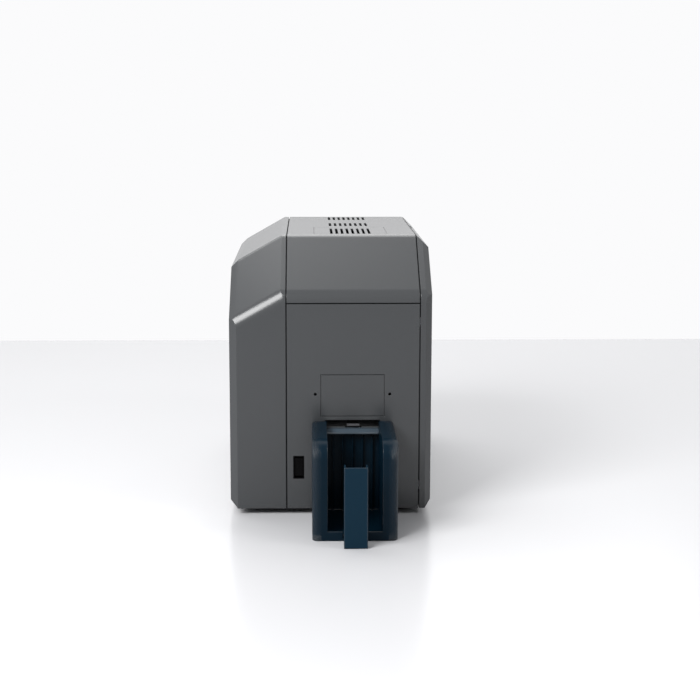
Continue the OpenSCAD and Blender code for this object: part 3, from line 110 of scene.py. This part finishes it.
def uneven_polish(tree, shader, pattern, smooth, rough):
    """Lets the roughness drift between two values by a pattern."""
    noise_reaches = (0.3, 0.7)
    tree.links.new(map_range(tree, pattern, noise_reaches, (smooth, rough)), shader.inputs["Roughness"])


def finish_surface(tree, shader, radius, grain_mm=1.0, depth_mm=0.02, strength=0.0):
    """Edges eased by a radius, which catch the light, under a fine grain; returns their normal.
    The radius is in metres, and a socket where it differs from place to place."""
    edge = add_node(tree, "ShaderNodeBevel", {"samples": 4}, {"Radius": radius})
    bump = add_node(tree, "ShaderNodeBump", None,
                    {"Strength": strength, "Distance": depth_mm * MM,
                     "Height": patches(tree, grain_mm), "Normal": edge.outputs["Normal"]})
    tree.links.new(bump.outputs["Normal"], shader.inputs["Normal"])
    return edge.outputs["Normal"]


def polished_edges(tree, shader, eased_normal, **on_faces_and_edges):
    """Gives a socket one value on the faces and one on the eased edges, which handling polishes."""
    surface_normal = add_node(tree, "ShaderNodeNewGeometry").outputs["Normal"]
    alike = add_node(tree, "ShaderNodeVectorMath", {"operation": "DOT_PRODUCT"},
                     {0: eased_normal, 1: surface_normal})
    edge_to_face = (0.88, 0.98)
    for socket, (on_face, on_edge) in on_faces_and_edges.items():
        value = map_range(tree, alike.outputs["Value"], edge_to_face, (on_edge, on_face))
        tree.links.new(value, shader.inputs[socket.replace("_", " ")])


# Materials


def housing_abs():
    """ABS moulded in a spark-eroded tool: a mid grey with a soft sheen and a fine, even grain."""
    material, tree, shader = surface(
        "housing_abs", Base_Color=linear("#383a3c"), Roughness=0.24, IOR=1.53)
    finish_surface(tree, shader, 1.0 * MM, grain_mm=0.9, strength=0.15)
    return material


def bin_abs(name, colour, wide_edge_mm, wide_beyond_mm):
    """The same plastic in a dark blue teal: its grain swallows the sheen but for the highlights on
    its edges. The outer corners, beyond a distance from the bin's middle, are eased much wider."""
    material, tree, shader = surface(name, Base_Color=linear(colour), IOR=1.5)
    edge_mm, change_mm = 1.2, 1
    across = add_node(tree, "ShaderNodeSeparateXYZ", None, {"Vector": place_on_piece(tree)})
    offset = add_node(tree, "ShaderNodeMath", {"operation": "SUBTRACT"},
                      {0: across.outputs["X"], 1: CARD_X * MM})
    aside = add_node(tree, "ShaderNodeMath", {"operation": "ABSOLUTE"}, {0: offset.outputs[0]})
    radius = map_range(tree, aside.outputs[0],
                       ((wide_beyond_mm - change_mm) * MM, wide_beyond_mm * MM),
                       (edge_mm * MM, wide_edge_mm * MM))
    eased = finish_surface(tree, shader, radius, grain_mm=0.9, strength=0.1)
    polished_edges(tree, shader, eased, Specular_IOR_Level=(0.08, 0.8), Roughness=(0.3, 0.17))
    return material


def black_abs():
    """Black ABS of small fittings: nearly no colour, a faint satin highlight."""
    material, tree, shader = surface(
        "black_abs", Base_Color=linear("#050506"), Roughness=0.4, IOR=1.53, Specular_IOR_Level=0.06)
    finish_surface(tree, shader, 0.4 * MM, grain_mm=0.7, strength=0.1)
    return material


def strip_acrylic():
    """Acrylic over a dark print: its faint dimpling dulls the room's reflection to a purple grey."""
    material, tree, shader = surface(
        "strip_acrylic", Base_Color=linear("#17161d"), Roughness=0.2, IOR=1.49, Specular_IOR_Level=0.22)
    finish_surface(tree, shader, 0.2 * MM, grain_mm=1.6, depth_mm=0.01, strength=0.2)
    return material


def lens_acrylic():
    """Milky acrylic of a light guide: pale, whiter in its cloudy patches, with a sharp highlight."""
    material, tree, shader = surface("lens_acrylic", Roughness=0.15, IOR=1.49)
    two_tone(tree, shader, patches(tree, 0.6), "#a9c9da", "#c6dfeb")
    finish_surface(tree, shader, 0.2 * MM)
    return material


def foot_rubber():
    """Moulded rubber: black and dull, with a coarse grain."""
    material, tree, shader = surface(
        "foot_rubber", Base_Color=linear("#141414"), Roughness=0.75, IOR=1.52)
    finish_surface(tree, shader, 0.6 * MM, grain_mm=1.2, depth_mm=0.05, strength=0.3)
    return material


def roller_rubber(name, colour):
    """Ground rubber of a feed roller: matt, with the fine marks of the grinding wheel."""
    material, tree, shader = surface(name, Base_Color=linear(colour), Roughness=0.6, IOR=1.52)
    finish_surface(tree, shader, 0.3 * MM, grain_mm=0.8, depth_mm=0.03, strength=0.3)
    return material


def zinc_steel():
    """Zinc-plated sheet steel: a cool grey metal, cloudy where the plating's crystals differ."""
    material, tree, shader = surface("zinc_steel", Metallic=1.0)
    crystals = patches(tree, 9, detail=3.0)
    two_tone(tree, shader, crystals, "#a9adb2", "#c6c9cc")
    uneven_polish(tree, shader, crystals, 0.33, 0.44)
    finish_surface(tree, shader, 0.2 * MM)
    return material


def turned_steel():
    """Turned steel of pins and shafts: bright, with the tool's fine marks breaking the highlight."""
    material, tree, shader = surface("turned_steel", Base_Color=linear("#c4c7ca"), Metallic=1.0)
    uneven_polish(tree, shader, patches(tree, 0.5), 0.16, 0.3)
    finish_surface(tree, shader, 0.2 * MM, grain_mm=0.3, depth_mm=0.01, strength=0.2)
    return material


def acetal():
    """Acetal of moulded gears: off-white and slightly waxy, a touch yellower where it is thick."""
    material, tree, shader = surface(
        "acetal", Roughness=0.35, IOR=1.48, Subsurface_Weight=0.1, Subsurface_Scale=0.002)
    two_tone(tree, shader, patches(tree, 7), "#d8d8cd", "#e0e0da")
    finish_surface(tree, shader, 0.15 * MM, grain_mm=0.5, depth_mm=0.01, strength=0.15)
    return material


def brass():
    """Hobbed brass of the motor's pinion: warm, duller where the cutter's marks are closer."""
    material, tree, shader = surface("brass", Base_Color=linear("#cda859"), Metallic=1.0)
    uneven_polish(tree, shader, patches(tree, 0.4), 0.2, 0.36)
    finish_surface(tree, shader, 0.1 * MM, grain_mm=0.3, depth_mm=0.01, strength=0.2)
    return material


def motor_enamel():
    """Stoved black enamel on the motor: glossy, with the slow ripple that sprayed enamel keeps."""
    material, tree, shader = surface(
        "motor_enamel", Base_Color=linear("#262629"), Roughness=0.33, IOR=1.5)
    finish_surface(tree, shader, 0.5 * MM, grain_mm=1.8, depth_mm=0.04, strength=0.25)
    return material


def wound_film(name, dark, light, axis_yz_mm):
    """A roll of thin polyester film: glossy round the roll, with the turns' edges as fine rings."""
    material, tree, shader = surface(name, Roughness=0.2, IOR=1.6)
    axis = (0, axis_yz_mm[0] * MM, axis_yz_mm[1] * MM)
    centred = add_node(tree, "ShaderNodeVectorMath", {"operation": "SUBTRACT"},
                       {0: place_on_piece(tree), 1: axis})
    ring_mm, rings_at_scale_one = 0.8, 10 / math.pi
    turns = add_node(tree, "ShaderNodeTexWave", {"wave_type": "RINGS", "rings_direction": "X"},
                     {"Vector": centred.outputs[0], "Scale": 1 / (rings_at_scale_one * ring_mm * MM)})
    two_tone(tree, shader, turns.outputs["Fac"], dark, light)
    return material


def cassette_plastic():
    """Polystyrene of the ribbon's frame: a mid blue, faintly streaked by the flow in the mould."""
    material, tree, shader = surface("cassette_plastic", Roughness=0.35, IOR=1.59)
    two_tone(tree, shader, patches(tree, 5, detail=2.0, stretch=(1, 4, 1)), "#275373", "#2f617f")
    finish_surface(tree, shader, 0.4 * MM, grain_mm=0.8, strength=0.1)
    return material


def head_ceramic():
    """Glazed alumina of the print head: ivory, with the glassy sheen of a slightly wavy glaze."""
    material, tree, shader = surface(
        "head_ceramic", Base_Color=linear("#e4dfcf"), Roughness=0.2, IOR=1.7)
    finish_surface(tree, shader, 0.3 * MM, grain_mm=2.5, depth_mm=0.02, strength=0.25)
    return material


def extruded_aluminium():
    """Bare extruded aluminium: pale and softly metallic, with the die's lines along its length."""
    material, tree, shader = surface("extruded_aluminium", Metallic=1.0)
    lines = patches(tree, 0.5, stretch=(40, 1, 1))
    two_tone(tree, shader, lines, "#bdbfc2", "#cfd0d2")
    uneven_polish(tree, shader, lines, 0.3, 0.42)
    return material


def board_lacquer():
    """Green solder lacquer: smooth and glossy, lighter where copper runs under it."""
    material, tree, shader = surface("board_lacquer", Roughness=0.25, IOR=1.5)
    quarter_turn = math.pi / 2
    upright = add_node(tree, "ShaderNodeMapping", None,
                       {"Vector": place_on_piece(tree), "Rotation": (0, quarter_turn, quarter_turn)})
    track_mm, pitch_mm, pitches_long = 0.5, 2.54, 7
    tracks = add_node(tree, "ShaderNodeTexBrick", None,
                      {"Vector": upright.outputs[0], "Scale": 1.0, "Mortar Size": track_mm * MM / 2,
                       "Brick Width": pitches_long * pitch_mm * MM, "Row Height": pitch_mm * MM})
    two_tone(tree, shader, tracks.outputs["Fac"], "#0d4426", "#1a5c38")
    return material


def shaded_lever_plastic():
    """Grey acetal of the exit lever, its grey darkened as painted shade for its place in the exit slot:
    matt, with a fine grain.
    """
    material, tree, shader = surface(
        "shaded_lever_plastic", Base_Color=linear("#4a4a4d"), Roughness=0.5, IOR=1.48)
    finish_surface(tree, shader, 0.3 * MM, grain_mm=0.6, strength=0.15)
    return material


def ramp_plastic():
    """Blue-grey polystyrene of the ramp behind the bin: polished by the cards that slide down."""
    material, tree, shader = surface(
        "ramp_plastic", Base_Color=linear("#414d57"), Roughness=0.22, IOR=1.59)
    finish_surface(tree, shader, 0.8 * MM, grain_mm=0.9, strength=0.05)
    return material


def shade_seal_foam():
    """Closed-cell polyurethane foam, dark grey and quite dull, put behind the seams as their painted
    shade.
    """
    material, tree, shader = surface(
        "shade_seal_foam", Base_Color=linear("#2c2d2f"), Roughness=0.95, IOR=1.45, Specular_IOR_Level=0.2)
    finish_surface(tree, shader, 0.3 * MM, grain_mm=0.8, depth_mm=0.05, strength=0.3)
    return material


# Places in mm, in the part's frame: the middle of the card's path, and the axes of the two spools
CARD_X = 23.8
SUPPLY_AXIS_YZ = (57.3, 173.7)
TAKEUP_AXIS_YZ = (-26.7, 173.7)

FINISHES = {
    "housing": housing_abs(),
    "bin": bin_abs("bin_abs", "#051925", wide_edge_mm=9, wide_beyond_mm=35),
    "strip": strip_acrylic(),
    "lens": lens_acrylic(),
    "black_plastic": black_abs(),
    "feet": foot_rubber(),
    "plate_steel": zinc_steel(),
    "ramp": ramp_plastic(),
    "roller_rubber": roller_rubber("roller_rubber", "#37373a"),
    "cleaning_rubber": roller_rubber("cleaning_rubber", "#4f86a8"),
    "gear_plastic": acetal(),
    "brass": brass(),
    "motor": motor_enamel(),
    "ribbon": wound_film("ribbon_film", "#6b2777", "#853892", SUPPLY_AXIS_YZ),
    "used_ribbon": wound_film("used_ribbon_film", "#1d1d24", "#2e2e37", TAKEUP_AXIS_YZ),
    "cassette": cassette_plastic(),
    "ceramic": head_ceramic(),
    "aluminium": extruded_aluminium(),
    "board": board_lacquer(),
    "lever": shaded_lever_plastic(),
}


def dress(node_name, material):
    """Gives a node of the part this material and no other."""
    mesh = nodes[node_name].data
    mesh.materials.clear()
    mesh.materials.append(material)


for entry in frame["record"]["subparts"]:
    dress(entry["node"], FINISHES[entry["material_slot"]])

dress("card_stop", bin_abs("stop_abs", "#0e2736", wide_edge_mm=2, wide_beyond_mm=9))
PIN_STEEL = turned_steel()
for pin_node in ("frame_pins", "hinge_pins", "chassis_bars", "spool_drives"):
    dress(pin_node, PIN_STEEL)


# Dark foam behind the seams, a painted shade in them: all lengths in mm, in the part's frame

REAR_SEAM_X, DOOR_SEAM_X, LID_SEAM_Z = -47.6, 96.2, 232.7
SEAM_SHADE_HALF_WIDTH, SEAM_SHADE_BEHIND, SEAM_SHADE_THICK = 2.6, 2.6, 1.0
NEAR_Y = -128.7
HOUSING_OUTLINE_YZ = [(NEAR_Y, 9.0), (NEAR_Y, 241.5), (-59.7, 299.3),
                      (178.3, 299.3), (247.3, 241.5), (247.3, 9.0)]
# The door's strip leaves the hinge brackets free, which it would run into as the door opens.
DOOR_STRIPS_YZ = [[(NEAR_Y, 9.0), (NEAR_Y, 22.5)], [(NEAR_Y, 37.5), (NEAR_Y, 202.5)],
                  [(NEAR_Y, 217.5)] + HOUSING_OUTLINE_YZ[1:]]
# The foam's dark grey paints the shade that the seams show.
SEAM_SHADE_FOAM = shade_seal_foam()


def inset(outline, depth):
    """The outline moved in by a depth; it runs clockwise round the inside of the housing."""
    points = [Vector(point) for point in outline]
    ways = [(b - a).normalized() for a, b in zip(points, points[1:])]
    ways = [ways[0]] + ways + [ways[-1]]
    moved = []
    for point, before, after in zip(points, ways, ways[1:]):
        inward = (Vector((before.y, -before.x)) + Vector((after.y, -after.x))).normalized()
        moved.append(point + inward * depth / inward.dot(Vector((after.y, -after.x))))
    return moved


def seam_shade_strip(name, outline, x_low, x_high, body):
    """A strip of dark closed-cell foam that follows a seam from behind and paints the seam's shade."""
    outer = inset(outline, SEAM_SHADE_BEHIND)
    inner = inset(outline, SEAM_SHADE_BEHIND + SEAM_SHADE_THICK)
    build = bmesh.new()
    rings = [[build.verts.new((x * MM, p.x * MM, p.y * MM))
              for x, p in ((x_low, o), (x_high, o), (x_high, i), (x_low, i))]
             for o, i in zip(outer, inner)]
    for ring, following in zip(rings, rings[1:]):
        for side in range(len(ring)):
            turn = (side + 1) % len(ring)
            build.faces.new((ring[side], ring[turn], following[turn], following[side]))
    build.faces.new(rings[0][::-1])
    build.faces.new(rings[-1])
    bmesh.ops.recalc_face_normals(build, faces=build.faces)
    mesh = bpy.data.meshes.new(name)
    build.to_mesh(mesh)
    build.free()
    mesh.materials.append(SEAM_SHADE_FOAM)
    strip = bpy.data.objects.new(name, mesh)
    bpy.context.scene.collection.objects.link(strip)
    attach(strip, body)


seam_shade_strip("rear_seam_shade_foam", HOUSING_OUTLINE_YZ,
           REAR_SEAM_X - SEAM_SHADE_HALF_WIDTH, REAR_SEAM_X + SEAM_SHADE_HALF_WIDTH, "housing")
for number, door_strip in enumerate(DOOR_STRIPS_YZ, start=1):
    seam_shade_strip(f"door_seam_shade_foam_{number}", door_strip,
               DOOR_SEAM_X - SEAM_SHADE_HALF_WIDTH, DOOR_SEAM_X + SEAM_SHADE_HALF_WIDTH, "door")
seam_shade_strip("lid_seam_shade_foam",
           [(NEAR_Y, LID_SEAM_Z - SEAM_SHADE_HALF_WIDTH), (NEAR_Y, LID_SEAM_Z + SEAM_SHADE_HALF_WIDTH)],
           REAR_SEAM_X + SEAM_SHADE_HALF_WIDTH, DOOR_SEAM_X - SEAM_SHADE_HALF_WIDTH, "housing")


# Moulded roundings


def rounding_shader(sharp_deg):
    """Shades faces that meet at less than this angle as one rounding, and keeps the other edges."""
    weld_mm = 0.002
    tree = bpy.data.node_groups.new("moulded_rounding", "GeometryNodeTree")
    tree.interface.new_socket("Piece", in_out="INPUT", socket_type="NodeSocketGeometry")
    tree.interface.new_socket("Piece", in_out="OUTPUT", socket_type="NodeSocketGeometry")
    piece = add_node(tree, "NodeGroupInput")
    joined = add_node(tree, "GeometryNodeMergeByDistance", None,
                      {"Geometry": piece.outputs[0], "Distance": weld_mm * MM})
    plain = add_node(tree, "GeometryNodeRemoveAttribute", None,
                     {"Geometry": joined.outputs[0], "Name": "custom_normal"})
    smooth = add_node(tree, "GeometryNodeSetShadeSmooth", {"domain": "FACE"},
                      {0: plain.outputs[0], "Shade Smooth": True})
    angle = add_node(tree, "GeometryNodeInputMeshEdgeAngle")
    sharp = add_node(tree, "FunctionNodeCompare", {"operation": "GREATER_THAN"},
                     {0: angle.outputs["Unsigned Angle"], 1: math.radians(sharp_deg)})
    edges = add_node(tree, "GeometryNodeSetShadeSmooth", {"domain": "EDGE"},
                     {0: smooth.outputs[0], "Selection": sharp.outputs[0], "Shade Smooth": False})
    done = add_node(tree, "NodeGroupOutput")
    tree.links.new(edges.outputs[0], done.inputs[0])
    return tree


def shade_roundings(node_names, tree):
    """Shades the faceted roundings of these moulded nodes as smooth; their meshes stay."""
    for node_name in node_names:
        piece = nodes[node_name]
        piece.modifiers.new("moulded_rounding", "NODES").node_group = tree
        even = piece.modifiers.new("even_normals", "WEIGHTED_NORMAL")
        even.keep_sharp = True


shade_roundings(
    ["rear_cover", "top_lid", "vent_panel", "front_door", "output_side_panel", "input_side_panel",
     "input_door", "output_bin", "card_stop", "input_tray", "ribbon_cassette"],
    rounding_shader(sharp_deg=14))


# Floor, light and camera


def pale_floor():
    """Glossy white board that ends a little behind the printer; lengths in metres."""
    material = surface("white_board", Base_Color=linear("#d3d3d5"), Roughness=0.22, IOR=1.45)[0]
    far_edge, near_edge, half_width = 0.96, -2.6, 2.4
    bpy.ops.mesh.primitive_plane_add(size=1, location=(0, (far_edge + near_edge) / 2, 0))
    floor = bpy.context.object
    floor.name = "floor"
    floor.scale = (2 * half_width, far_edge - near_edge, 1)
    floor.data.materials.append(material)


def soft_sun(name, toward, strength, spread):
    """A distant, broad light: the same on the whole floor, with a soft edge to its shadow."""
    lamp = bpy.data.lights.new(name, "SUN")
    lamp.energy = strength
    lamp.angle = math.radians(spread)
    sun = bpy.data.objects.new(name, lamp)
    bpy.context.scene.collection.objects.link(sun)
    sun.rotation_euler = (-Vector(toward)).to_track_quat("-Z", "Y").to_euler()


def softbox(name, at, aim, size, watts):
    """A rectangular lamp that the camera doesn't see, aimed at a point; lengths in metres."""
    lamp = bpy.data.lights.new(name, "AREA")
    lamp.shape = "RECTANGLE"
    lamp.size, lamp.size_y = size
    lamp.energy = watts
    box = bpy.data.objects.new(name, lamp)
    bpy.context.scene.collection.objects.link(box)
    box.location = at
    box.visible_camera = False
    box.rotation_euler = (Vector(aim) - Vector(at)).to_track_quat("-Z", "Y").to_euler()


def white_room():
    """A white backdrop for the camera and for gloss; a weaker, even light on everything else."""
    world = bpy.data.worlds.new("white_room")
    bpy.context.scene.world = world
    world.use_nodes = True
    tree = world.node_tree
    tree.nodes.clear()
    ray = add_node(tree, "ShaderNodeLightPath")
    seen_or_mirrored = add_node(tree, "ShaderNodeMath", {"operation": "MAXIMUM"},
                                {0: ray.outputs["Is Camera Ray"], 1: ray.outputs["Is Glossy Ray"]})
    white = add_node(tree, "ShaderNodeMath", {"operation": "MAXIMUM"},
                     {0: seen_or_mirrored.outputs[0], 1: ray.outputs["Is Transmission Ray"]})
    backdrop = add_node(tree, "ShaderNodeBackground", None,
                        {"Color": linear("#fbfbfc"), "Strength": 1.0})
    fill = add_node(tree, "ShaderNodeBackground", None,
                    {"Color": linear("#f4f5f7"), "Strength": 0.36})
    mix = add_node(tree, "ShaderNodeMixShader", None,
                   {0: white.outputs[0], 1: fill.outputs[0], 2: backdrop.outputs[0]})
    out = add_node(tree, "ShaderNodeOutputWorld")
    tree.links.new(mix.outputs[0], out.inputs["Surface"])


def photo_camera():
    """The camera fitted to the housing's edges in the photograph."""
    place_m = (-0.0235, -1.5829, 0.4517)
    focal_px, frame_px, sensor_mm = 1376.1, 700, 36
    principal_left_px, principal_up_px = 21, 45
    pitch, yaw = math.radians(8.62), math.radians(0.86)
    camera = bpy.data.cameras.new("photo_camera")
    camera.sensor_width = sensor_mm
    camera.lens = focal_px / frame_px * sensor_mm
    camera.shift_x = principal_left_px / frame_px
    camera.shift_y = -principal_up_px / frame_px
    nearest_m, farthest_m = 0.05, 50
    camera.clip_start, camera.clip_end = nearest_m, farthest_m
    holder = bpy.data.objects.new("photo_camera", camera)
    bpy.context.scene.collection.objects.link(holder)
    holder.location = place_m
    level = math.cos(pitch)
    ahead = Vector((math.sin(yaw) * level, math.cos(yaw) * level, -math.sin(pitch)))
    holder.rotation_euler = ahead.to_track_quat("-Z", "Y").to_euler()
    bpy.context.scene.camera = holder


pale_floor()
white_room()
soft_sun("overhead_sun", toward=(-0.22, 0.5, 1.0), strength=1.42, spread=48)
softbox("left_softbox", at=(-1.0, -1.14, 1.27), aim=(-0.08, -0.13, 0.24), size=(0.9, 0.9), watts=37)
softbox("right_softbox", at=(1.19, -0.66, 1.04), aim=(0.07, -0.22, 0.1), size=(0.35, 0.35), watts=4)
softbox("overhead_softbox", at=(0.1, 1.6, 1.2), aim=(0, 0, 0.3), size=(1.6, 0.8), watts=8)
photo_camera()
bpy.context.scene.view_settings.view_transform = "Standard"
